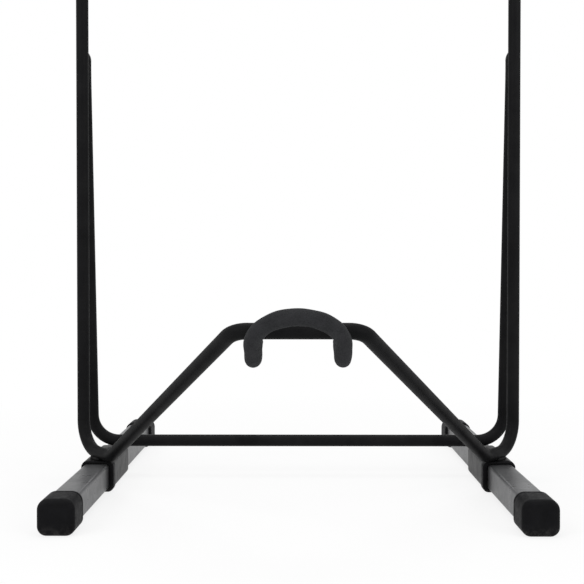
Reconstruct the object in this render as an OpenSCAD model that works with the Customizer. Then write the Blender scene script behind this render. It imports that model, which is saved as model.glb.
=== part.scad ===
// Freestanding rack that holds one surfboard upright, tail down and leaning back.
// Lengths are in millimetres. X is sideways, the front is -Y, Z is up from the floor.

/* [Feet] */
// Distance between the centre lines of the two foot tubes
foot_spacing = 404; // [320:1:520]
// Length of each square foot tube
foot_len = 443; // [360:1:600]
// Outer side of the square foot tube
foot_side = 25; // [20:0.5:32]
// Wall of the foot tube
foot_wall = 1.5; // [1:0.1:2.5]
// Outer corner radius of the foot tube
foot_corner = 3; // [2:0.1:5]

/* [End caps] */
// Length of each end cap along the foot
cap_len = 34; // [26:1:60]
// Rubber at the two sides of the tube
cap_side = 3.6; // [1.5:0.1:6]
// Rubber over the tube
cap_top = 2.8; // [1.2:0.1:5]
// Rubber under the tube, which lifts it off the floor
cap_sole = 3.5; // [3.5:0.5:14]
// Rubber in front of the tube's end
cap_end = 3; // [2:0.1:8]
// Rounding of the cap's upper edges
cap_round = 9.5; // [3:0.1:10]
// Rounding of the sole's edges
cap_heel = 8; // [1.5:0.1:9]
// Rounding round the closed end
cap_nose = 4.7; // [1:0.1:6]
// Depth of the grip grooves across the sole
groove_depth = 1; // [0.5:0.1:2]
// Number of grip grooves across each sole
groove_count = 4; // [0:1:6]

/* [Sleeves] */
// Length of the collar on each foot
sleeve_len = 88; // [70:1:130]
// Wall of the collar
sleeve_wall = 2.8; // [1:0.1:3]
// Gap between foot tube and collar on each side
sleeve_gap = 0.2; // [0.1:0.05:0.4]
// Overhang of the collar in front of the front hoop's uprights
sleeve_lead = 34; // [24:1:44]

/* [Frame tube] */
// Outer diameter of the round frame tube
tube_d = 12.7; // [10:0.1:19]
// Wall of the round frame tube
tube_wall = 1.2; // [0.8:0.1:2]
// Height of the front hoop's top bar, to its centre
top_h = 687; // [560:1:1000]
// Distance between the uprights' centre lines
upright_spacing = 446; // [420:1:560]
// Fore and aft place of the front uprights, from the middle of the feet
front_y = -24; // [-60:1:-10]
// Fore and aft place of the bottom bar, from the middle of the feet
rear_y = 23; // [0:1:40]
// Bend radius at the hoop's top corners
top_bend = 45; // [30:1:80]
// Bend radius where a front upright turns onto its sleeve
foot_bend = 30; // [24:1:34]
// Bend radius where the rear uprights turn into the bottom bar
rear_bend = 28; // [24:1:50]
// Drop from the top bar to where the rear uprights reach the front ones
join_drop = 260; // [70:5:400]
// Length over which rear and front uprights lie together
join_len = 15; // [12:1:60]
// Paint gap between tubes that are welded together
weld_gap = 0.1; // [0.05:0.05:0.2]

/* [Neck and cradle] */
// Height of the short cross bar behind the tail
neck_h = 175.5; // [150:0.5:220]
// Fore and aft place of that cross bar, from the middle of the feet
neck_y = -294; // [-330:1:-240]
// Length of the cross bar outside each of the cradle's arms, to the corner where the strut begins
neck_side = 17; // [17:1:40]
// Inward run of each strut's foot on its sleeve, from the upright's line to where it rises
strut_in = 37; // [32:1:44]
// Forward run of the same foot
strut_out = 45; // [38:1:54]
// Bend radius where a strut rises from its sleeve
strut_bend = 26; // [18:1:30]
// Bend radius where a strut turns into the cross bar
neck_bend = 18; // [14:1:19]
// Diameter of the cradle's rod
rod_d = 8; // [6:0.1:10]
// Outer diameter of the foam sleeve on the rod
pad_d = 12.4; // [11:0.1:18]
// Distance between the centre lines of the cradle's two arms
arm_spacing = 64; // [56:1:76]
// Distance from the cross bar forward to the cradle's lowest corner
arm_reach = 38; // [30:1:70]
// Drop from the cross bar to the cradle's lowest corner
arm_drop = 21; // [14:0.5:40]
// Angle of the cradle's front loop above the horizontal
loop_tilt = 42; // [35:1:70]
// Straight length of the loop's legs, from the corner to the round end
leg_len = 20; // [18:1:60]
// Bend radius at the cradle's lowest corner
hook_bend = 14; // [12:0.5:16]

/* [Top pad] */
// Outer diameter of the foam sleeve on the top bar
top_pad_d = 28.7; // [20:0.5:45]
// Length of that foam sleeve
top_pad_len = 300; // [160:5:320]

/* [Fasteners] */
// Nominal diameter of the screws that hold the feet
screw_d = 5; // [4:0.5:6]
// Distance between the two screws of a sleeve
screw_spacing = 48; // [30:1:56]

/* [Hidden] */
$fn = 64;

// A bend is a hair fuller than the straight tube that laps into it
bend_step = 0.05;
bend_lap = 1;

// Fits
pad_gap = 0.15;
plug_gap = 0.1;
thread_gap = 0.1;
hole_gap = 0.25;
cap_gap = 0.15;

// Feet and sleeves
foot_x = foot_spacing / 2;
foot_z = cap_sole + foot_side / 2;
sleeve_side = foot_side + 2 * sleeve_gap + 2 * sleeve_wall;
sleeve_corner = foot_corner + sleeve_gap + sleeve_wall;
sleeve_front = front_y - sleeve_lead;
sleeve_mid = sleeve_front + sleeve_len / 2;
deck_z = foot_z + sleeve_side / 2 + weld_gap + tube_d / 2;

// Uprights
upright_x = upright_spacing / 2;
join_y = front_y + tube_d + weld_gap;
join_h = top_h - join_drop;
join_bend = 60;
tube_bore = tube_d - 2 * tube_wall;

// The strut rises from its foot at the front inner corner of the sleeve
kick_x = upright_x - strut_in;
kick_y = front_y - strut_out;

// Cradle
arm_x = arm_spacing / 2;
neck_x = arm_x + neck_side;
hook_y = neck_y - arm_reach;
hook_z = neck_h - arm_drop;
loop_len = leg_len + arm_x;
crown_y = hook_y - loop_len * cos(loop_tilt);
// One side of it, from the cross bar down to the corner and up to the round end
hook_side = [
    [arm_x, neck_y, neck_h],
    [arm_x, hook_y, hook_z],
    [arm_x, hook_y - leg_len * cos(loop_tilt), hook_z + leg_len * sin(loop_tilt)]];
hook_radii = [0, hook_bend, 0];

// Fasteners
washer_t = 1;
washer_d = 2 * screw_d;
head_d = 1.9 * screw_d;
head_h = 0.55 * screw_d;
nut_t = 0.8 * screw_d;
nut_side = 1.6 * screw_d;
key_side = 0.6 * screw_d;
key_depth = 0.3 * screw_d;
screw_tip = 1.5;

// The origin lies on the floor, in the middle of the whole rack's length
front_end = crown_y - pad_d / 2;
rear_end = foot_len / 2 + cap_end;
shift_y = -(front_end + rear_end) / 2;

function unit(v) = v / norm(v);
function mirrored(p) = [-p[0], p[1], p[2]];
function reversed(list) = [for (i = [len(list) - 1:-1:0]) list[i]];

// Angle by which a bend at point i turns the tube
function turn_at(pts, i, n) =
    acos(unit(pts[i] - pts[(i + n - 1) % n]) * unit(pts[(i + 1) % n] - pts[i]));
// Length that a bend takes from the straight runs beside it
function trim_at(pts, radii, i, n) =
    radii[i] == 0 ? 0 : radii[i] * tan(turn_at(pts, i, n) / 2);

// Moves whatever it holds to a frame with the given axes and origin
module in_frame(x, y, z, at) {
    multmatrix([
        [x[0], y[0], z[0], at[0]],
        [x[1], y[1], z[1], at[1]],
        [x[2], y[2], z[2], at[2]],
        [0, 0, 0, 1]]) children();
}

// Straight round run from one point to another, longer by the given laps at its two ends
module run(a, b, d, lap_a, lap_b) {
    z = unit(b - a);
    side = abs(z[2]) > 0.9 ? [1, 0, 0] : [0, 0, 1];
    y = unit(cross(z, side));
    in_frame(cross(y, z), y, z, a - lap_a * z)
        cylinder(h = norm(b - a) + lap_a + lap_b, d = d - 2 * bend_step);
}

// Round bend from a start point, in the direction u, towards the side n
module bend(start, u, n, turn, radius, d) {
    in_frame(-n, u, cross(u, n), start + radius * n)
        rotate_extrude(angle = turn) translate([radius, 0]) circle(d = d);
}

// Round rod along a chain of points, bent at each with the radius given for it.
// Where a closed chain is asked for, the last point joins the first one. An open chain's last
// run can be made to lap into a bend that is drawn beside it.
module bent_rod(pts, radii, d, closed = false, lap_end = false) {
    n = len(pts);
    last = closed ? n - 1 : n - 2;
    for (i = [0:last]) {
        j = (i + 1) % n;
        u = unit(pts[j] - pts[i]);
        run(pts[i] + trim_at(pts, radii, i, n) * u, pts[j] - trim_at(pts, radii, j, n) * u, d,
            radii[i] > 0 ? bend_lap : 0,
            radii[j] > 0 || (lap_end && j == n - 1) ? bend_lap : 0);
    }
    for (i = [0:n - 1])
        if (radii[i] > 0) {
            u = unit(pts[i] - pts[(i + n - 1) % n]);
            v = unit(pts[(i + 1) % n] - pts[i]);
            bend(pts[i] - trim_at(pts, radii, i, n) * u, u, unit(v - (u * v) * u),
                turn_at(pts, i, n), radii[i], d);
        }
}

// Square with round corners
module round_square(side, r) {
    square([side, side - 2 * r], center = true);
    square([side - 2 * r, side], center = true);
    for (x = [-1, 1], z = [-1, 1])
        translate([x * (side / 2 - r), z * (side / 2 - r)]) circle(r = r);
}

// Square tube along Y, centred on the origin
module square_tube(side, wall, r, length) {
    rotate([90, 0, 0]) linear_extrude(length, center = true) difference() {
        round_square(side, r);
        round_square(side - 2 * wall, r - wall);
    }
}

module front_hoop() {
    half = [
        [upright_x, front_y, top_h],
        [upright_x, front_y, deck_z],
        [kick_x, kick_y, deck_z],
        [neck_x, neck_y, neck_h]];
    pts = concat(half, reversed([for (p = half) mirrored(p)]));
    half_radii = [top_bend, foot_bend, strut_bend, neck_bend];
    radii = concat(half_radii, reversed(half_radii));
    color("#1c1c1e") translate([0, shift_y, 0]) difference() {
        bent_rod(pts, radii, tube_d, closed = true);
        bent_rod(pts, radii, tube_bore, closed = true);
    }
}

module rear_hoop() {
    half = [
        [upright_x, join_y, join_h + join_len],
        [upright_x, join_y, join_h],
        [upright_x, rear_y, deck_z]];
    pts = concat(half, reversed([for (p = half) mirrored(p)]));
    half_radii = [0, join_bend, rear_bend];
    radii = concat(half_radii, reversed(half_radii));
    color("#1c1c1e") translate([0, shift_y, 0]) difference() {
        bent_rod(pts, radii, tube_d);
        bent_rod(pts, radii, tube_bore);
    }
}

// Rod of the cradle: its two sides and the half circle between them
module hook_rod(d) {
    bent_rod(hook_side, hook_radii, d, lap_end = true);
    bent_rod([for (p = hook_side) mirrored(p)], hook_radii, d, lap_end = true);
    bend(hook_side[2], unit(hook_side[2] - hook_side[1]), [-1, 0, 0], 180, arm_x, d);
}

// Room taken by the cross bar, which the cradle's arms are fitted to
module neck_bar(d) {
    translate([0, neck_y, neck_h]) rotate([0, 90, 0]) cylinder(h = 2 * neck_x, d = d, center = true);
}

module cradle_hook() {
    color("#1c1c1e") translate([0, shift_y, 0]) difference() {
        hook_rod(rod_d);
        neck_bar(tube_d + 2 * weld_gap);
    }
}

module cradle_pad() {
    color("#3a3b3d") translate([0, shift_y, 0]) difference() {
        hook_rod(pad_d);
        hook_rod(rod_d + 2 * pad_gap);
        neck_bar(tube_d + pad_d);
    }
}

module top_pad() {
    edge = (top_pad_d - tube_d) / 5;
    color("#3a3b3d") translate([0, front_y + shift_y, top_h]) rotate([0, 90, 0])
        rotate_extrude() difference() {
            union() {
                translate([0, -top_pad_len / 2 + edge])
                    square([top_pad_d / 2, top_pad_len - 2 * edge]);
                translate([0, -top_pad_len / 2]) square([top_pad_d / 2 - edge, top_pad_len]);
                for (s = [-1, 1])
                    translate([top_pad_d / 2 - edge, s * (top_pad_len / 2 - edge)])
                        circle(r = edge);
            }
            translate([0, -top_pad_len])
                square([tube_d / 2 + pad_gap, 2 * top_pad_len]);
        }
}

// Holes for the screws through the outer wall of sleeve and foot tube
module screw_places(side) {
    for (s = [-1, 1])
        translate([side * foot_x, sleeve_mid + s * screw_spacing / 2 + shift_y, foot_z])
            rotate([0, side * 90, 0]) children();
}

module screw_holes(side) {
    screw_places(side) cylinder(h = sleeve_side, d = screw_d + 2 * hole_gap);
}

module sleeve(side) {
    color("#222224") difference() {
        translate([side * foot_x, sleeve_mid + shift_y, foot_z])
            square_tube(sleeve_side, sleeve_wall, sleeve_corner, sleeve_len);
        screw_holes(side);
    }
}

module foot_tube(side) {
    color("#6d6e70") difference() {
        translate([side * foot_x, shift_y, foot_z])
            square_tube(foot_side, foot_wall, foot_corner, foot_len);
        screw_holes(side);
    }
}

// Long edge of an end cap: a round bar, rounded at the closed end, with a small lip at the mouth
module cap_edge(x, z, r, nose) {
    lip = 1;
    steps = 5;
    tip = [for (i = [0:steps])
        [r - nose + nose * sin(90 * i / steps), nose - nose * cos(90 * i / steps)]];
    translate([x, 0, z]) rotate([-90, 0, 0]) rotate_extrude($fn = 32)
        polygon(concat([[0, 0]], tip, [[r, cap_len - lip], [r - lip / 2, cap_len], [0, cap_len]]));
}

// Boot of rubber over a tube end; it is drawn for the front and turned round for the rear.
// Its roundings are limited by the rubber that is left inside them.
module cap_body() {
    end = -foot_len / 2 - cap_end;
    w = foot_side / 2 + cap_side;
    high = cap_sole + foot_side + cap_top;
    r = min(cap_round, foot_corner + 2.4 * min(cap_side, cap_top));
    heel = min(cap_heel, r);
    nose = min(cap_nose, heel - 0.5, 1.7 * min(cap_side, cap_top, cap_end));
    difference() {
        translate([0, end, 0]) hull() for (x = [-1, 1]) {
            cap_edge(x * (w - heel), heel, heel, nose);
            cap_edge(x * (w - r), high - r, r, nose);
        }
        translate([0, 0, foot_z]) rotate([90, 0, 0]) linear_extrude(foot_len + 2 * cap_gap, center = true)
            round_square(foot_side + 2 * cap_gap, foot_corner + cap_gap);
        for (i = [1:groove_count])
            translate([0, end + i * cap_len / (groove_count + 1), 0])
                cube([foot_side, 2, 2 * groove_depth], center = true);
    }
}

module end_cap(side, rear) {
    color("#262628") translate([side * foot_x, shift_y, 0])
        rotate([0, 0, rear ? 180 : 0]) cap_body();
}

// Tapered plug in the open upper end of the rear hoop
module plug(side) {
    stem = 9;
    taper = 12;
    taper_r = ((tube_d / 2) * (tube_d / 2) + taper * taper) / tube_d;
    color("#262628") translate([side * upright_x, join_y + shift_y, join_h + join_len])
        rotate_extrude() {
            translate([0, -stem]) square([tube_bore / 2 - plug_gap, stem + 0.5]);
            intersection() {
                translate([tube_d / 2 - taper_r, 0]) circle(r = taper_r);
                square([tube_d / 2, taper]);
            }
        }
}

module screws(side) {
    wall = sleeve_side / 2 + washer_t;
    shank = wall - foot_side / 2 + foot_wall + nut_t + screw_tip;
    head_r = ((head_d / 2) * (head_d / 2) + head_h * head_h) / (2 * head_h);
    color("#8a8b8d") screw_places(side) difference() {
        union() {
            translate([0, 0, wall - shank]) cylinder(h = shank, d = screw_d);
            translate([0, 0, wall]) rotate_extrude() intersection() {
                translate([0, head_h - head_r]) circle(r = head_r);
                square([head_d / 2, head_h]);
            }
        }
        translate([0, 0, wall + head_h - key_depth])
            cylinder(h = key_depth + 1, d = key_side / cos(30), $fn = 6);
    }
}

module washers(side) {
    color("#8a8b8d") screw_places(side) translate([0, 0, sleeve_side / 2]) difference() {
        cylinder(h = washer_t, d = washer_d);
        translate([0, 0, -1]) cylinder(h = washer_t + 2, d = screw_d + 2 * hole_gap);
    }
}

// Hexagon nuts welded to the inner face of the foot tube's wall
module weld_nuts(side) {
    face = foot_side / 2 - foot_wall;
    color("#77787a") screw_places(side) translate([0, 0, face - nut_t]) difference() {
        cylinder(h = nut_t, d = nut_side / cos(30), $fn = 6);
        translate([0, 0, -1]) cylinder(h = nut_t + 2, d = screw_d + 2 * thread_gap);
    }
}

front_hoop();
rear_hoop();
cradle_hook();
cradle_pad();
top_pad();
sleeve(-1);  // sleeve_left
sleeve(1);  // sleeve_right
foot_tube(-1);  // foot_tube_left
foot_tube(1);  // foot_tube_right
end_cap(-1, false);  // cap_front_left
end_cap(1, false);  // cap_front_right
end_cap(-1, true);  // cap_rear_left
end_cap(1, true);  // cap_rear_right
plug(-1);  // plug_left
plug(1);  // plug_right
screws(-1);  // screws_left
screws(1);  // screws_right
washers(-1);  // washers_left
washers(1);  // washers_right
weld_nuts(-1);  // weld_nuts_left
weld_nuts(1);  // weld_nuts_right
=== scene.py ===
import math

import bmesh
import bpy
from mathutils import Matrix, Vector


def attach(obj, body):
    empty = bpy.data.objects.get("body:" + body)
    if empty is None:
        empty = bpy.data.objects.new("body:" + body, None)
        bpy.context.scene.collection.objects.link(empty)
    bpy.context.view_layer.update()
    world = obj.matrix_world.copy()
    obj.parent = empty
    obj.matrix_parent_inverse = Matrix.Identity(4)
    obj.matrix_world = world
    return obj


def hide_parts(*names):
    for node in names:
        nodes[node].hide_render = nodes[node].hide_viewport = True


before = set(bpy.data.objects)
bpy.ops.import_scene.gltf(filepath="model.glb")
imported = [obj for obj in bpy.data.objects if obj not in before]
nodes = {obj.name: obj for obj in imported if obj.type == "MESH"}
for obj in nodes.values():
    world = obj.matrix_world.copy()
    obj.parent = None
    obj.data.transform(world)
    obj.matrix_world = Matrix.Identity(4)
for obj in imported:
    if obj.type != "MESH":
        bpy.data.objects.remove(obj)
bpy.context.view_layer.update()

# Sizes and places in metres, as part.scad has them. SHIFT_Y takes a place measured from the middle
# of the feet to the rack's own origin.
MM = 0.001
SHIFT_Y = 76.17 * MM
SIDES = ((-1, "left"), (1, "right"))

# The hoops: the front one's uprights and top bar, the rear one's bottom bar, and the height at
# which a brace comes to its upright
TUBE_R = 6.35 * MM
UPRIGHT_X = 223 * MM
FRONT_Y = -24 * MM + SHIFT_Y
TOP_Z = 687 * MM
REAR_Y = 23 * MM + SHIFT_Y
JOIN_Z = 427 * MM

# The foot of a strut, at the front inner corner of its sleeve
KICK_X = 186 * MM
KICK_Y = -69 * MM + SHIFT_Y

# Feet and sleeves; FOOT_END is half the foot tube's length
FOOT_X = 202 * MM
FOOT_Z = 16 * MM
FOOT_END = 221.5 * MM
SLEEVE_FRONT = -58 * MM + SHIFT_Y
SLEEVE_TOP = 31.5 * MM

# The cradle: its rod and half its width, the cross bar that carries it, the rod's low bend, and the
# straight run from there to the tilted round end
ROD_R = 4 * MM
ARM_X = 32 * MM
NECK = Vector((0, -294 * MM + SHIFT_Y, 175.5 * MM))
HOOK = Vector((0, -332 * MM + SHIFT_Y, 154.5 * MM))
HOOK_BEND = 14 * MM
LEG = 20 * MM
TILT = math.radians(42)


# ---------------------------------------------------------------- nodes of a material

def new_material(name):
    """An empty node material; returns it with its node tree and its Principled shader."""
    material = bpy.data.materials.new(name)
    material.use_nodes = True
    tree = material.node_tree
    tree.nodes.clear()
    out = tree.nodes.new("ShaderNodeOutputMaterial")
    shader = tree.nodes.new("ShaderNodeBsdfPrincipled")
    tree.links.new(shader.outputs["BSDF"], out.inputs["Surface"])
    return material, tree, shader


def add(tree, kind, **settings):
    """A new node; each setting is one of its inputs or, failing that, one of its properties."""
    node = tree.nodes.new(kind)
    for key, value in settings.items():
        if key in node.inputs:
            node.inputs[key].default_value = value
        else:
            setattr(node, key, value)
    return node


def place(tree):
    """The surface's own place on the rack, the same in every view."""
    return add(tree, "ShaderNodeTexCoord").outputs["Object"]


def parts(tree, vector):
    """A vector's X, Y and Z."""
    node = add(tree, "ShaderNodeSeparateXYZ")
    tree.links.new(vector, node.inputs["Vector"])
    return node.outputs


def noise(tree, scale, detail, roughness, squeeze=None):
    """Noise at a place on the rack; squeeze scales the place first, to draw the noise out."""
    where = place(tree)
    if squeeze:
        mapping = add(tree, "ShaderNodeMapping", Scale=squeeze)
        tree.links.new(where, mapping.inputs["Vector"])
        where = mapping.outputs["Vector"]
    node = add(tree, "ShaderNodeTexNoise", Scale=scale, Detail=detail, Roughness=roughness)
    tree.links.new(where, node.inputs["Vector"])
    return node.outputs["Fac"]


def ramp(tree, fac, stops):
    """Colours or greys from a value; stops are (place, value or (r, g, b))."""
    node = tree.nodes.new("ShaderNodeValToRGB")
    elements = node.color_ramp.elements
    while len(elements) < len(stops):
        elements.new(0.5)
    for element, (at, value) in zip(elements, stops):
        element.position = at
        rgb = value if isinstance(value, tuple) else (value,) * 3
        element.color = (*rgb, 1)
    tree.links.new(fac, node.inputs["Fac"])
    return node.outputs["Color"]


def multiply(tree, a, b):
    """The product of two colours or greys."""
    node = add(tree, "ShaderNodeMix", data_type="RGBA", blend_type="MULTIPLY")
    node.inputs["Factor"].default_value = 1
    tree.links.new(a, node.inputs["A"])
    tree.links.new(b, node.inputs["B"])
    return node.outputs["Result"]


def tinted(tree, colour, share, tint):
    """A colour that gives way to a fixed tint by a share from 0 to 1."""
    node = add(tree, "ShaderNodeMix", data_type="RGBA")
    tree.links.new(share, node.inputs["Factor"])
    tree.links.new(colour, node.inputs["A"])
    node.inputs["B"].default_value = (*tint, 1)
    return node.outputs["Result"]


def roughen(tree, shader, fac, low, high):
    """A roughness that drifts between two values with a noise."""
    tree.links.new(ramp(tree, fac, [(0.3, low), (0.7, high)]), shader.inputs["Roughness"])


def bump(tree, shader, layers):
    """Chains bump nodes; layers are (height output, strength, distance in metres)."""
    last = None
    for height, strength, distance in layers:
        node = add(tree, "ShaderNodeBump", Strength=strength, Distance=distance)
        tree.links.new(height, node.inputs["Height"])
        if last is not None:
            tree.links.new(last, node.inputs["Normal"])
        last = node.outputs["Normal"]
    tree.links.new(last, shader.inputs["Normal"])


# ---------------------------------------------------------------- materials

DUST = (0.3, 0.29, 0.28)
SCUFF = (0.11, 0.105, 0.1)

# The stretch of a foot tube that carries painted shade, for the shadow and reflection of the black
# tubes, from within the sleeve to well in front of it, and how much of the paint's colour is left
# along it
PAINTED_SHADE_FROM = SLEEVE_FRONT + 50 * MM
PAINTED_SHADE_TO = SLEEVE_FRONT - 100 * MM
PAINTED_SHADE_STOPS = [(0.0, 1.0), (0.25, 0.12), (0.35, 0.14), (0.41, 0.60), (0.56, 0.80), (1.0, 1.0)]


def painted_shade_near_sleeves(tree, colour):
    """Painted shade on the foot tubes, for the shadow and reflection of the black tubes: darkest at
    the front mouth of the sleeves, thin further forward, and gone again within the sleeve."""
    ahead = add(tree, "ShaderNodeMapRange")
    ahead.inputs["From Min"].default_value = PAINTED_SHADE_FROM
    ahead.inputs["From Max"].default_value = PAINTED_SHADE_TO
    tree.links.new(parts(tree, place(tree))["Y"], ahead.inputs["Value"])
    return multiply(tree, colour, ramp(tree, ahead.outputs["Result"], PAINTED_SHADE_STOPS))


def painted(name, dark, light, rough, specular, peel=0.25, dust=0.0, sleeve_shade=False):
    """Powder coat: orange peel, a cloudy tone and sheen, a little dust on what faces up, and
    painted shade near the sleeves' mouths where it is asked for."""
    material, tree, shader = new_material(name)
    colour = ramp(tree, noise(tree, 38, 4, 0.6), [(0.3, dark), (0.7, light)])
    # painted shade: the colour darkens where the tubes' shadow and reflection fall near the sleeves
    if sleeve_shade:
        colour = painted_shade_near_sleeves(tree, colour)
    if dust:
        normal = add(tree, "ShaderNodeNewGeometry").outputs["Normal"]
        up = ramp(tree, parts(tree, normal)["Z"], [(0.55, 0.0), (1.0, dust)])
        patch = ramp(tree, noise(tree, 160, 5, 0.7), [(0.35, 0.2), (0.7, 1.0)])
        colour = tinted(tree, colour, multiply(tree, up, patch), DUST)
    tree.links.new(colour, shader.inputs["Base Color"])
    roughen(tree, shader, noise(tree, 90, 4, 0.65), rough - 0.05, rough + 0.06)
    shader.inputs["Specular IOR Level"].default_value = specular
    bump(tree, shader, [
        (noise(tree, 1100, 2, 0.5), peel, 0.06 * MM),
        (noise(tree, 420, 2, 0.4), peel, 0.08 * MM)])
    return material


def rubber(name, dark, light, rough, specular):
    """Moulded rubber or plastic: fine grain, a bloom that pales it in patches, and scuffs within
    9 mm of the floor."""
    material, tree, shader = new_material(name)
    bloom = ramp(tree, noise(tree, 55, 5, 0.65), [(0.3, dark), (0.72, light)])
    low = ramp(tree, parts(tree, place(tree))["Z"], [(0.0, 1.0), (0.009, 0.0)])
    scuff = ramp(tree, noise(tree, 260, 5, 0.75, squeeze=(1, 0.35, 1)), [(0.45, 0.0), (0.75, 0.55)])
    tree.links.new(tinted(tree, bloom, multiply(tree, low, scuff), SCUFF),
                   shader.inputs["Base Color"])
    roughen(tree, shader, noise(tree, 300, 4, 0.6), rough - 0.08, rough + 0.08)
    shader.inputs["Specular IOR Level"].default_value = specular
    bump(tree, shader, [
        (noise(tree, 1800, 3, 0.6), 0.35, 0.1 * MM),
        (noise(tree, 140, 3, 0.5), 0.2, 0.4 * MM)])
    return material


def foam(name, dark, light):
    """Closed-cell foam skin: small cells, pinholes and a dull bloom."""
    material, tree, shader = new_material(name)
    cells = add(tree, "ShaderNodeTexVoronoi", Scale=900.0)
    tree.links.new(place(tree), cells.inputs["Vector"])
    tone = ramp(tree, noise(tree, 70, 5, 0.7), [(0.3, dark), (0.72, light)])
    pits = ramp(tree, cells.outputs["Distance"], [(0.05, 0.55), (0.4, 1.0)])
    tree.links.new(multiply(tree, tone, pits), shader.inputs["Base Color"])
    roughen(tree, shader, noise(tree, 500, 3, 0.6), 0.78, 0.95)
    shader.inputs["Specular IOR Level"].default_value = 0.14
    bump(tree, shader, [
        (cells.outputs["Distance"], 0.45, 0.35 * MM),
        (noise(tree, 230, 4, 0.6), 0.3, 0.5 * MM)])
    return material


def plated(name, dark, light):
    """Plated steel, with fine turned streaks and cloudy passivation."""
    material, tree, shader = new_material(name)
    tone = ramp(tree, noise(tree, 220, 4, 0.6), [(0.3, dark), (0.7, light)])
    tree.links.new(tone, shader.inputs["Base Color"])
    shader.inputs["Metallic"].default_value = 1
    roughen(tree, shader, noise(tree, 900, 3, 0.6), 0.28, 0.45)
    bump(tree, shader, [(noise(tree, 2500, 2, 0.5, squeeze=(1, 0.2, 1)), 0.25, 0.04 * MM)])
    return material


BLACK_COAT = ((0.0065, 0.0065, 0.007), (0.011, 0.011, 0.0115))
black = painted("black_powder_coat", *BLACK_COAT, rough=0.46, specular=0.03, dust=0.02)
weld_black = painted("painted_weld", *BLACK_COAT, rough=0.48, specular=0.03, peel=0.5)
sleeve_black = painted("sleeve_powder_coat", (0.007, 0.007, 0.0075), (0.012, 0.012, 0.0125),
                       rough=0.44, specular=0.13, dust=0.03)
# The foot tubes' grey carries painted shade at the sleeves' mouths, for the shadow and reflection
# of the black tubes.
grey = painted("grey_powder_coat", (0.088, 0.089, 0.092), (0.108, 0.109, 0.112),
               rough=0.31, specular=0.10, peel=0.15, dust=0.03, sleeve_shade=True)
cap_rubber = rubber("cap_rubber", (0.004, 0.004, 0.0045), (0.008, 0.008, 0.009),
                    rough=0.54, specular=0.05)
plug_black = rubber("plug_plastic", (0.005, 0.005, 0.0055), (0.009, 0.009, 0.010),
                    rough=0.45, specular=0.08)
foam_grey = foam("foam", (0.018, 0.0185, 0.020), (0.030, 0.0305, 0.033))
zinc = plated("zinc_plate", (0.40, 0.41, 0.42), (0.60, 0.60, 0.58))

LOOKS = {
    "front_hoop": black, "rear_hoop": black, "cradle_hook": black,
    "cradle_pad": foam_grey, "top_pad": foam_grey,
}
for _, word in SIDES:
    LOOKS[f"sleeve_{word}"] = sleeve_black
    LOOKS[f"foot_tube_{word}"] = grey
    LOOKS[f"cap_front_{word}"] = cap_rubber
    LOOKS[f"cap_rear_{word}"] = cap_rubber
    LOOKS[f"plug_{word}"] = plug_black
    for kind in ("screws", "washers", "weld_nuts"):
        LOOKS[f"{kind}_{word}"] = zinc
for name, look in LOOKS.items():
    mesh = nodes[name].data
    mesh.materials.clear()
    mesh.materials.append(look)


# ---------------------------------------------------------------- paths, rings and pieces

def line(a, b, step):
    """Points along a straight line, at most about a step apart."""
    count = max(2, int((b - a).length / step))
    return [a.lerp(b, k / count) for k in range(count + 1)]


def fill(points, end, step):
    """Carries a straight stretch on to its end, with a point every step."""
    start = points[-1]
    count = max(1, int((end - start).length / step))
    for k in range(1, count + 1):
        points.append(start.lerp(end, k / count))


def bent_path(corners, radii, step):
    """Points along a chain of corners, with a round bend of the given radius at each."""
    points = [corners[0].copy()]
    for i in range(1, len(corners) - 1):
        a = (corners[i] - corners[i - 1]).normalized()
        b = (corners[i + 1] - corners[i]).normalized()
        angle = a.angle(b)
        start = corners[i] - a * (radii[i] * math.tan(angle / 2))
        inward = (b - a * a.dot(b)).normalized()
        centre = start + inward * radii[i]
        count = max(4, int(radii[i] * angle / step))
        fill(points, start, step)
        for k in range(1, count + 1):
            t = angle * k / count
            points.append(centre - inward * radii[i] * math.cos(t) + a * radii[i] * math.sin(t))
    fill(points, corners[-1], step)
    return points


def frames(path, closed=False):
    """A tangent and two side directions at each point, which turn as little as they can."""
    n = len(path)
    tangents = []
    for i in range(n):
        before = path[(i - 1) % n] if closed else path[max(i - 1, 0)]
        after = path[(i + 1) % n] if closed else path[min(i + 1, n - 1)]
        tangents.append((after - before).normalized())
    side = tangents[0].orthogonal().normalized()
    made = []
    for t in tangents:
        side = (side - t * t.dot(side)).normalized()
        made.append((t, side, t.cross(side)))
    return made


def ring_faces(rings, sides, closed, first=0):
    """Faces between neighbouring rings of points, which begin at point number first. A closed
    chain joins its last ring to its first; an open one gets a flat end at each."""
    faces = []
    for i in range(rings if closed else rings - 1):
        here, there = first + i * sides, first + (i + 1) % rings * sides
        for k in range(sides):
            m = (k + 1) % sides
            faces.append((here + k, here + m, there + m, there + k))
    if not closed:
        end = first + (rings - 1) * sides
        faces.append(tuple(range(first, first + sides)))
        faces.append(tuple(reversed(range(end, end + sides))))
    return faces


def rounding(radius, steps=4):
    """A rounded edge, from the end face to the side: how far each ring lies along the piece from
    its end, and how far inside its side."""
    angles = [math.pi / 2 * k / steps for k in range(steps + 1)]
    return [(radius * (1 - math.cos(a)), radius * (1 - math.sin(a))) for a in angles]


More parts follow.
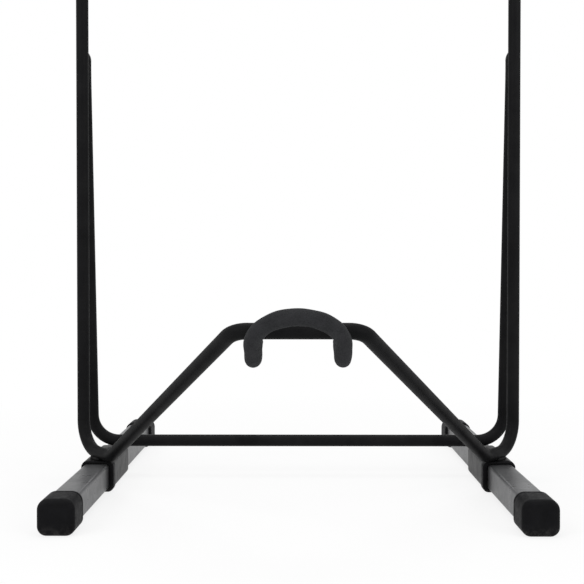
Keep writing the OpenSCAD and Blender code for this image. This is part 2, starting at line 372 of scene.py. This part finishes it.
def mesh_piece(name, verts, faces, material, slot):
    """A smooth-shaded piece that rides with the frame, its faces turned outward."""
    mesh = bpy.data.meshes.new(name)
    mesh.from_pydata([tuple(v) for v in verts], [], faces)
    mesh.validate()
    bm = bmesh.new()
    bm.from_mesh(mesh)
    bmesh.ops.recalc_face_normals(bm, faces=bm.faces)
    bm.to_mesh(mesh)
    bm.free()
    for polygon in mesh.polygons:
        polygon.use_smooth = True
    mesh.materials.append(material)
    piece = bpy.data.objects.new(name, mesh)
    bpy.context.scene.collection.objects.link(piece)
    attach(piece, "root")
    return piece


# ---------------------------------------------------------------- foam sleeves

# The play round a rod, the bevel at the bore's mouth, and how far from the cross bar's axis the
# cradle's foam begins
FOAM_GAP = 0.2 * MM
FOAM_MOUTH = 0.6 * MM
CRADLE_FOAM_FROM = 13.2 * MM
CRADLE_FOAM_R = 6.2 * MM
TOP_FOAM_R = 14.3 * MM
TOP_FOAM_LEN = 300 * MM

# The depths of the top foam's hollow and seam, and half the seam's width in radians
HOLLOW = 1.2 * MM
SEAM = 1.1 * MM
SEAM_WIDE = 0.045


def foam_sleeve(name, path, outer, inner, edge, skin, sides=56):
    """A foam tube on a rod: outer skin, rounded ends and bore, in one closed mesh.
    skin(s, angle, total) gives how far the skin stands out at a place on it."""
    turned = frames(path)
    lengths = [0.0]
    for a, b in zip(path, path[1:]):
        lengths.append(lengths[-1] + (b - a).length)
    total = lengths[-1]
    last = len(path) - 1
    verts = []

    def ring(i, along, radius, on_skin=False):
        t, u, v = turned[i]
        for k in range(sides):
            angle = 2 * math.pi * k / sides
            r = radius + (skin(lengths[i], angle, total) if on_skin else 0)
            verts.append(path[i] + t * along + (u * math.cos(angle) + v * math.sin(angle)) * r)

    # from the bore's mouth round the edge, along the skin, round the far edge and back inside
    ring(0, FOAM_MOUTH, inner)
    ring(0, 0.0, inner + FOAM_MOUTH)
    for along, inset in rounding(edge):
        ring(0, along, outer - inset)
    for i in range(1, last):
        if edge * 1.2 < lengths[i] < total - edge * 1.2:
            ring(i, 0.0, outer, on_skin=True)
    for along, inset in reversed(rounding(edge)):
        ring(last, -along, outer - inset)
    ring(last, 0.0, inner + FOAM_MOUTH)
    ring(last, -FOAM_MOUTH, inner)
    for i in range(last - 1, 0, -1):
        ring(i, 0.0, inner)
    faces = ring_faces(len(verts) // sides, sides, closed=True)
    return mesh_piece(name, verts, faces, foam_grey, "foam")


def cradle_path():
    """The rod's axis within the foam: down one arm, round the low bend, up and round the loop,
    and back the same way on the other side."""
    loop = Vector((0, -math.cos(TILT), math.sin(TILT)))
    spring = HOOK + loop * LEG
    start = NECK + (HOOK - NECK).normalized() * CRADLE_FOAM_FROM
    side = [Vector((ARM_X, p.y, p.z)) for p in (start, HOOK, spring)]
    path = bent_path(side, [0, HOOK_BEND, 0], 0.8 * MM)
    arc, steps = [], 140
    for k in range(1, steps):
        t = math.pi * k / steps
        arc.append(Vector((ARM_X * math.cos(t), *(spring + loop * ARM_X * math.sin(t)).yz)))
    return path + arc + [Vector((-p.x, p.y, p.z)) for p in reversed(path)]


def cradle_skin(s, angle, total):
    """Shallow swells along the foam, and finer ones that turn round it."""
    return 0.00012 * math.sin(s * 190) + 0.00008 * math.sin(s * 410 + 2 * angle) - 0.1 * MM


cradle = foam_sleeve("cradle_foam", cradle_path(), CRADLE_FOAM_R, ROD_R + FOAM_GAP, 1.6 * MM,
                     cradle_skin)
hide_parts("cradle_pad")

top_path = line(Vector((-TOP_FOAM_LEN / 2, FRONT_Y, TOP_Z)),
                Vector((TOP_FOAM_LEN / 2, FRONT_Y, TOP_Z)), 1.5 * MM)


def angle_towards(direction):
    """The angle round the top foam at which its skin faces a direction."""
    _, u, v = frames(top_path)[0]
    return math.atan2(direction.dot(v), direction.dot(u))


TOP_FRONT = angle_towards(Vector((0, -1, 0)))
TOP_SEAM = angle_towards(Vector((0, 0.9, -0.5)))


def top_skin(s, angle, total):
    """Slow swells of extruded foam, its seam at the back, and a shallow hollow in front, along its
    middle, where boards have leaned."""
    middle = 1 - min(1.0, abs(s - total / 2) / (0.3 * total))
    front = max(0.0, math.cos(angle - TOP_FRONT)) ** 6
    hollow = HOLLOW * front * middle * middle * (3 - 2 * middle)
    seam = SEAM * math.exp(-(math.remainder(angle - TOP_SEAM, 2 * math.pi) / SEAM_WIDE) ** 2)
    swell = 0.0002 * math.sin(s * 60) * math.sin(angle) + 0.0001 * math.sin(s * 150 + 3 * angle)
    return swell - 0.3 * MM - hollow - seam


top = foam_sleeve("top_foam", top_path, TOP_FOAM_R, TUBE_R + FOAM_GAP, 3 * MM, top_skin, sides=120)
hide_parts("top_pad")


# ---------------------------------------------------------------- end caps

# Sections are four corners, (x, z, radius) each, from the upper right one round by the upper left.
# CORNER_STEPS is the number of faces round a corner, and SHARP the angle from which an edge is
# shaded sharp.
CORNER_STEPS = 10
SHARP = math.radians(38)
CAP_LEN = 34 * MM
CAP_END = 3 * MM
CAP_GAP = 0.15 * MM
CAP_HALF = 16.1 * MM
CAP_HIGH = 31.3 * MM
CAP_R = 9.5 * MM
HEEL_R = 8 * MM
NOSE_R = 4.7 * MM
BORE_HALF = 12.65 * MM
BORE_R = 3.15 * MM

# Grip grooves across the sole: their places from the closed end, half their width, half their
# length and their depth
GROOVES = [i * CAP_LEN / 5 for i in range(1, 5)]
GROOVE_HALF = 1 * MM
GROOVE_REACH = 12.5 * MM
GROOVE_DEEP = 1.0 * MM

# The parting bead's sections in mm from its middle, and the lip's in mm from the mouth, each with
# its inset; MOUTH is how far the bore's mouth opens, over MOUTH_LEN
PARTING_AT = CAP_LEN - 4.2 * MM
PARTING = ((-1.0, 0.0), (-0.6, 0.12), (-0.2, 0.42), (0.2, 0.42), (0.6, 0.12), (1.0, 0.0))
LIP = ((1.3, 0.0), (0.8, 0.06), (0.35, 0.25), (0.1, 0.5), (0.0, 0.85))
MOUTH = 0.45 * MM
MOUTH_LEN = 0.4 * MM


def section(right, left, high, low, radius, heel=None):
    """A rectangle with rounded corners; heel is the lower two's radius where it differs."""
    heel = heel or radius
    return [(right - radius, high - radius, radius), (left + radius, high - radius, radius),
            (left + heel, low + heel, heel), (right - heel, low + heel, heel)]


def corner_ring(corners, grow=0.0):
    """The points (x, z) round a section, which may grow or shrink on all sides."""
    ring = []
    for quarter, (x, z, radius) in enumerate(corners):
        for k in range(CORNER_STEPS + 1):
            a = quarter * math.pi / 2 + math.pi / 2 * k / CORNER_STEPS
            ring.append((x + (radius + grow) * math.cos(a), z + (radius + grow) * math.sin(a)))
    return ring


CAP_SECTION = section(CAP_HALF, -CAP_HALF, CAP_HIGH, 0, CAP_R, HEEL_R)
BORE_SECTION = section(BORE_HALF, -BORE_HALF, FOOT_Z + BORE_HALF, FOOT_Z - BORE_HALF, BORE_R)


def cap_ring(depth, inset=0.0):
    """The boot's outline at a distance from its closed end, where the nose draws it in."""
    if depth < NOSE_R:
        inset += NOSE_R - math.sqrt(NOSE_R ** 2 - (NOSE_R - depth) ** 2)
    return corner_ring(CAP_SECTION, -inset)


def cap_piece(name, node, side, rear):
    """Rubber boot: rounded closed end, a fine parting bead behind the mouth, a soft lip, and the
    grip grooves across its sole."""
    depths = [along for along, _ in rounding(NOSE_R, 10)]
    for groove in GROOVES:
        depths += [groove + step * MM for step in (-1.02, -0.99, 0.99, 1.02)]
    outside = [(depth, cap_ring(depth)) for depth in sorted(depths)]
    for step, inset in PARTING:
        outside.append((PARTING_AT + step * MM, cap_ring(CAP_LEN, inset * MM)))
    for back, inset in LIP:
        outside.append((CAP_LEN - back * MM, cap_ring(CAP_LEN, inset * MM)))
    bore = corner_ring(BORE_SECTION)
    inside = [(CAP_LEN, corner_ring(BORE_SECTION, MOUTH)), (CAP_LEN - MOUTH_LEN, bore),
              (CAP_END - CAP_GAP, bore)]
    verts = []
    turn = -1 if rear else 1

    def put(depth, x, z):
        verts.append(Vector((side * FOOT_X + turn * x,
                             turn * (depth - FOOT_END - CAP_END) + SHIFT_Y, z)))

    for depth, ring in outside:
        grooved = any(abs(depth - groove) < GROOVE_HALF for groove in GROOVES)
        for x, z in ring:
            put(depth, x, max(z, GROOVE_DEEP) if grooved and abs(x) <= GROOVE_REACH else z)
    for depth, ring in inside:
        for x, z in ring:
            put(depth, x, z)
    faces = ring_faces(len(outside) + len(inside), len(bore), closed=False)
    piece = mesh_piece(name, verts, faces, cap_rubber, "cap_rubber")
    piece.data.set_sharp_from_angle(angle=SHARP)
    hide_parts(node)


for side, word in SIDES:
    cap_piece(f"boot_front_{word}", f"cap_front_{word}", side, False)
    cap_piece(f"boot_rear_{word}", f"cap_rear_{word}", side, True)


# ---------------------------------------------------------------- sleeve rims

# The rim's outline reaches RIM_IN from the foot's middle towards the rack's middle and RIM_OUT
# away from it. SLEEVE_IN is just outside the sleeve's own side.
RIM_IN = 17.2 * MM
RIM_OUT = 15.4 * MM
RIM_LOW = 0.6 * MM
RIM_HIGH = 31.4 * MM
RIM_R = 6 * MM
RIM_EDGE = 1.2 * MM
RIM_SECTION = section(RIM_IN, -RIM_OUT, RIM_HIGH, RIM_LOW, RIM_R)
RIM_FRONT = SLEEVE_FRONT - 4 * MM
RIM_BACK = SLEEVE_FRONT - 0.1 * MM
RIM_MOUTH = 0.4 * MM
SLEEVE_IN = 15.55 * MM

# The flange's sections along the foot, each with its inset; the last two round its rear edge
FLANGE = ((RIM_BACK - 0.4 * MM, 0.0), (SLEEVE_FRONT + 6 * MM, 0.0),
          (SLEEVE_FRONT + 6.6 * MM, 0.25 * MM), (SLEEVE_FRONT + 7 * MM, 0.9 * MM))
FLANGE_TURN = 42


def flange_side(reach, inset=0.0):
    """Points (x, z) up one face of the flange, which follows the rim's corners for a part."""
    low = [(RIM_LOW + RIM_R, math.radians(a)) for a in range(-FLANGE_TURN, 1, 6)]
    high = [(RIM_HIGH - RIM_R, math.radians(a)) for a in range(0, FLANGE_TURN + 1, 6)]
    return [(reach - RIM_R + (RIM_R - inset) * math.cos(a), z + (RIM_R - inset) * math.sin(a))
            for z, a in low + high]


def rim_piece(name, side):
    """Dark rim at the front mouth of a sleeve: a plate round the foot tube, thicker towards the
    rack's middle, and a flange that runs back over the sleeve's inner side."""
    verts = []

    def put(y, ring):
        verts.extend(Vector((side * (FOOT_X - x), y, z)) for x, z in ring)

    bore = corner_ring(BORE_SECTION)
    put(RIM_FRONT + RIM_MOUTH, bore)
    put(RIM_FRONT, corner_ring(BORE_SECTION, RIM_MOUTH))
    for along, inset in rounding(RIM_EDGE):
        put(RIM_FRONT + along, corner_ring(RIM_SECTION, -inset))
    put(RIM_BACK, corner_ring(RIM_SECTION))
    put(RIM_BACK, bore)
    first = len(verts)
    faces = ring_faces(first // len(bore), len(bore), closed=True)
    inner = flange_side(SLEEVE_IN)[::-1]
    for y, inset in FLANGE:
        put(y, flange_side(RIM_IN, inset) + inner)
    faces += ring_faces(len(FLANGE), 2 * len(inner), closed=False, first=first)
    piece = mesh_piece(name, verts, faces, cap_rubber, "cap_rubber")
    piece.data.set_sharp_from_angle(angle=SHARP)


for side, word in SIDES:
    rim_piece(f"sleeve_rim_{word}", side)


# ---------------------------------------------------------------- weld beads

# A bead's distance from the tube's axis is WELD_OFF on a sleeve and JOIN_OFF where a brace meets
# its upright; ARM_OFF is how far the cradle's beads stand off both rods.
BEAD_SIDES = 14
BEAD_STEP = 0.5 * MM
WELD_R = 1.9 * MM
WELD_OFF = 4.9 * MM
WELD_Z = SLEEVE_TOP + 1.3 * MM
JOIN_OFF = 4.3 * MM
ARM_WELD_R = 1.25 * MM
ARM_OFF = 0.5 * MM

# From where to where the beads run: from the upright's foot towards the strut, across the rear of
# the sleeve in X, and up the upright from JOIN_Z
FOOT_WELD = (25 * MM, 43 * MM)
REAR_WELD = (188.6 * MM, 201.6 * MM)
JOIN_WELD = (-9 * MM, 13 * MM)


def bead(verts, faces, path, radius, closed=False, pitch=2.2 * MM):
    """A weld bead along a path, with a ripple every pitch; open ends run out to a point."""
    n = len(path)
    first = len(verts)
    run = 0.0
    for i, (_, u, v) in enumerate(frames(path, closed)):
        if i:
            run += (path[i] - path[i - 1]).length
        r = radius * (0.95 + 0.10 * abs(math.sin(math.pi * run / pitch)))
        if not closed:
            end = min(i, n - 1 - i) / max(1, min(6, n // 3))
            r *= math.sqrt(max(0.02, min(1.0, end)))
        for k in range(BEAD_SIDES):
            angle = 2 * math.pi * k / BEAD_SIDES
            verts.append(path[i] + (u * math.cos(angle) + v * math.sin(angle)) * r)
    faces += ring_faces(n, BEAD_SIDES, closed, first)


def hoop_welds(side):
    """Beads that join both hoops to one sleeve and to each other, in pairs along the tubes."""
    verts, faces = [], []

    def pair(start, end, off):
        for s in (-1, 1):
            bead(verts, faces, line(start + off * s, end + off * s, BEAD_STEP), WELD_R)

    x = side * UPRIGHT_X
    along = Vector((side * (KICK_X - UPRIGHT_X), KICK_Y - FRONT_Y, 0)).normalized()
    across = Vector((-along.y, along.x, 0))
    foot = Vector((x, FRONT_Y, WELD_Z))
    pair(*(foot + along * reach for reach in FOOT_WELD), across * WELD_OFF)
    pair(*(Vector((side * rear_x, REAR_Y, WELD_Z)) for rear_x in REAR_WELD),
         Vector((0, WELD_OFF, 0)))
    join_y = FRONT_Y + TUBE_R + 0.05 * MM
    pair(*(Vector((x, join_y, JOIN_Z + z)) for z in JOIN_WELD), Vector((JOIN_OFF, 0, 0)))
    return verts, faces


def arm_welds():
    """A bead round each arm of the cradle where it meets the cross bar."""
    verts, faces = [], []
    axis = (HOOK - NECK).normalized()
    u = Vector((1, 0, 0))
    v = axis.cross(u).normalized()
    steps = 72
    for side in (-1, 1):
        path = []
        for k in range(steps):
            angle = 2 * math.pi * k / steps
            offset = (u * math.cos(angle) + v * math.sin(angle)) * (ROD_R + ARM_OFF)
            reach = math.sqrt((TUBE_R + ARM_OFF) ** 2 - offset.dot(v) ** 2)
            path.append(Vector((side * ARM_X, NECK.y, NECK.z)) + offset + axis * reach)
        bead(verts, faces, path, ARM_WELD_R, closed=True, pitch=1.9 * MM)
    return verts, faces


for side, word in SIDES:
    mesh_piece(f"welds_{word}", *hoop_welds(side), weld_black, "black_frame")
mesh_piece("welds_cradle", *arm_welds(), weld_black, "black_frame")


# ---------------------------------------------------------------- stage, light and camera

# FLOOR_WHITE is the share of plain white in what is seen of the floor near the rack; the rest is
# its lit surface. It rises to 1 between the two distances from the rack's middle.
FLOOR_HALF = 12.0
FLOOR_WHITE = 0.82
SHADOW_NEAR, SHADOW_FAR = 0.36, 0.80
WORLD_LIGHT = 0.55


def seen_directly(tree):
    """1 for rays from the camera, from a glossy surface and through glass."""
    path = add(tree, "ShaderNodeLightPath")
    total = path.outputs["Is Camera Ray"]
    for name in ("Is Glossy Ray", "Is Transmission Ray"):
        join = add(tree, "ShaderNodeMath", operation="MAXIMUM")
        tree.links.new(total, join.inputs[0])
        tree.links.new(path.outputs[name], join.inputs[1])
        total = join.outputs["Value"]
    return total


def either(tree, share, one, other):
    """A shader that is one at share 0 and the other at 1."""
    node = add(tree, "ShaderNodeMixShader")
    tree.links.new(share, node.inputs["Fac"])
    tree.links.new(one, node.inputs[1])
    tree.links.new(other, node.inputs[2])
    return node.outputs["Shader"]


def studio_floor():
    """White floor. What looks at it sees the rack's soft shadow near the feet, and plain white
    further off, so that it has no horizon."""
    a = FLOOR_HALF
    mesh = bpy.data.meshes.new("floor")
    mesh.from_pydata([(-a, -a, 0), (a, -a, 0), (a, a, 0), (-a, a, 0)], [], [(0, 1, 2, 3)])
    material, tree, shader = new_material("pale_floor")
    tone = ramp(tree, noise(tree, 3, 2, 0.5), [(0.0, 0.90), (1.0, 0.93)])
    diffuse = add(tree, "ShaderNodeBsdfDiffuse")
    tree.links.new(tone, diffuse.inputs["Color"])
    white = add(tree, "ShaderNodeEmission", Strength=1.0)
    distance = add(tree, "ShaderNodeVectorMath", operation="LENGTH")
    tree.links.new(place(tree), distance.inputs[0])
    far = ramp(tree, distance.outputs["Value"], [(SHADOW_NEAR, FLOOR_WHITE), (SHADOW_FAR, 1.0)])
    share = add(tree, "ShaderNodeMath", operation="MULTIPLY")
    tree.links.new(far, share.inputs[0])
    tree.links.new(seen_directly(tree), share.inputs[1])
    surface = either(tree, share.outputs["Value"], diffuse.outputs["BSDF"],
                     white.outputs["Emission"])
    out = next(n for n in tree.nodes if n.type == "OUTPUT_MATERIAL")
    tree.links.new(surface, out.inputs["Surface"])
    tree.nodes.remove(shader)
    mesh.materials.append(material)
    floor = bpy.data.objects.new("floor", mesh)
    bpy.context.scene.collection.objects.link(floor)


def studio_world():
    """A soft white light from all round, which is seen as plain white."""
    world = bpy.data.worlds.new("studio")
    bpy.context.scene.world = world
    world.use_nodes = True
    tree = world.node_tree
    tree.nodes.clear()
    out = tree.nodes.new("ShaderNodeOutputWorld")
    lit = add(tree, "ShaderNodeBackground", Strength=WORLD_LIGHT)
    seen = add(tree, "ShaderNodeBackground", Strength=1.0)
    for node in (lit, seen):
        node.inputs["Color"].default_value = (1, 1, 1, 1)
    surface = either(tree, seen_directly(tree), lit.outputs["Background"],
                     seen.outputs["Background"])
    tree.links.new(surface, out.inputs["Surface"])


def softbox(name, at, towards, size, watts):
    """A rectangular lamp that faces a place."""
    data = bpy.data.lights.new(name, "AREA")
    data.shape = "RECTANGLE"
    data.size, data.size_y = size
    data.energy = watts
    lamp = bpy.data.objects.new(name, data)
    lamp.location = at
    lamp.rotation_euler = (Vector(towards) - Vector(at)).to_track_quat("-Z", "Y").to_euler()
    bpy.context.scene.collection.objects.link(lamp)


studio_floor()
studio_world()
softbox("key", (-1.6, -1.5, 1.7), (0, -0.05, 0.3), (1.2, 1.2), 22)
softbox("fill", (1.7, -1.4, 1.2), (0, -0.05, 0.3), (1.2, 1.4), 16)
softbox("top", (0, 0.2, 2.4), (0, 0, 0.3), (1.6, 1.2), 16)

# The photograph's view: 0.217 m above the floor and 1.009 m in front of the middle of the feet,
# with a focal length of 950 pixels, turned 6 pixels to the left and 16 down.
PHOTO_PX = 584
FOCAL_PX = 950
SENSOR_MM = 36
YAW, PITCH = math.atan(6 / FOCAL_PX), math.atan(-16 / FOCAL_PX)
camera = bpy.data.cameras.new("camera")
camera.sensor_width = SENSOR_MM
camera.lens = FOCAL_PX / PHOTO_PX * SENSOR_MM
view = bpy.data.objects.new("camera", camera)
view.location = (0, -1009 * MM + SHIFT_Y, 217 * MM)
view.rotation_euler = (math.pi / 2 + PITCH, 0, YAW)
bpy.context.scene.collection.objects.link(view)
bpy.context.scene.camera = view
bpy.context.scene.view_settings.view_transform = "Standard"
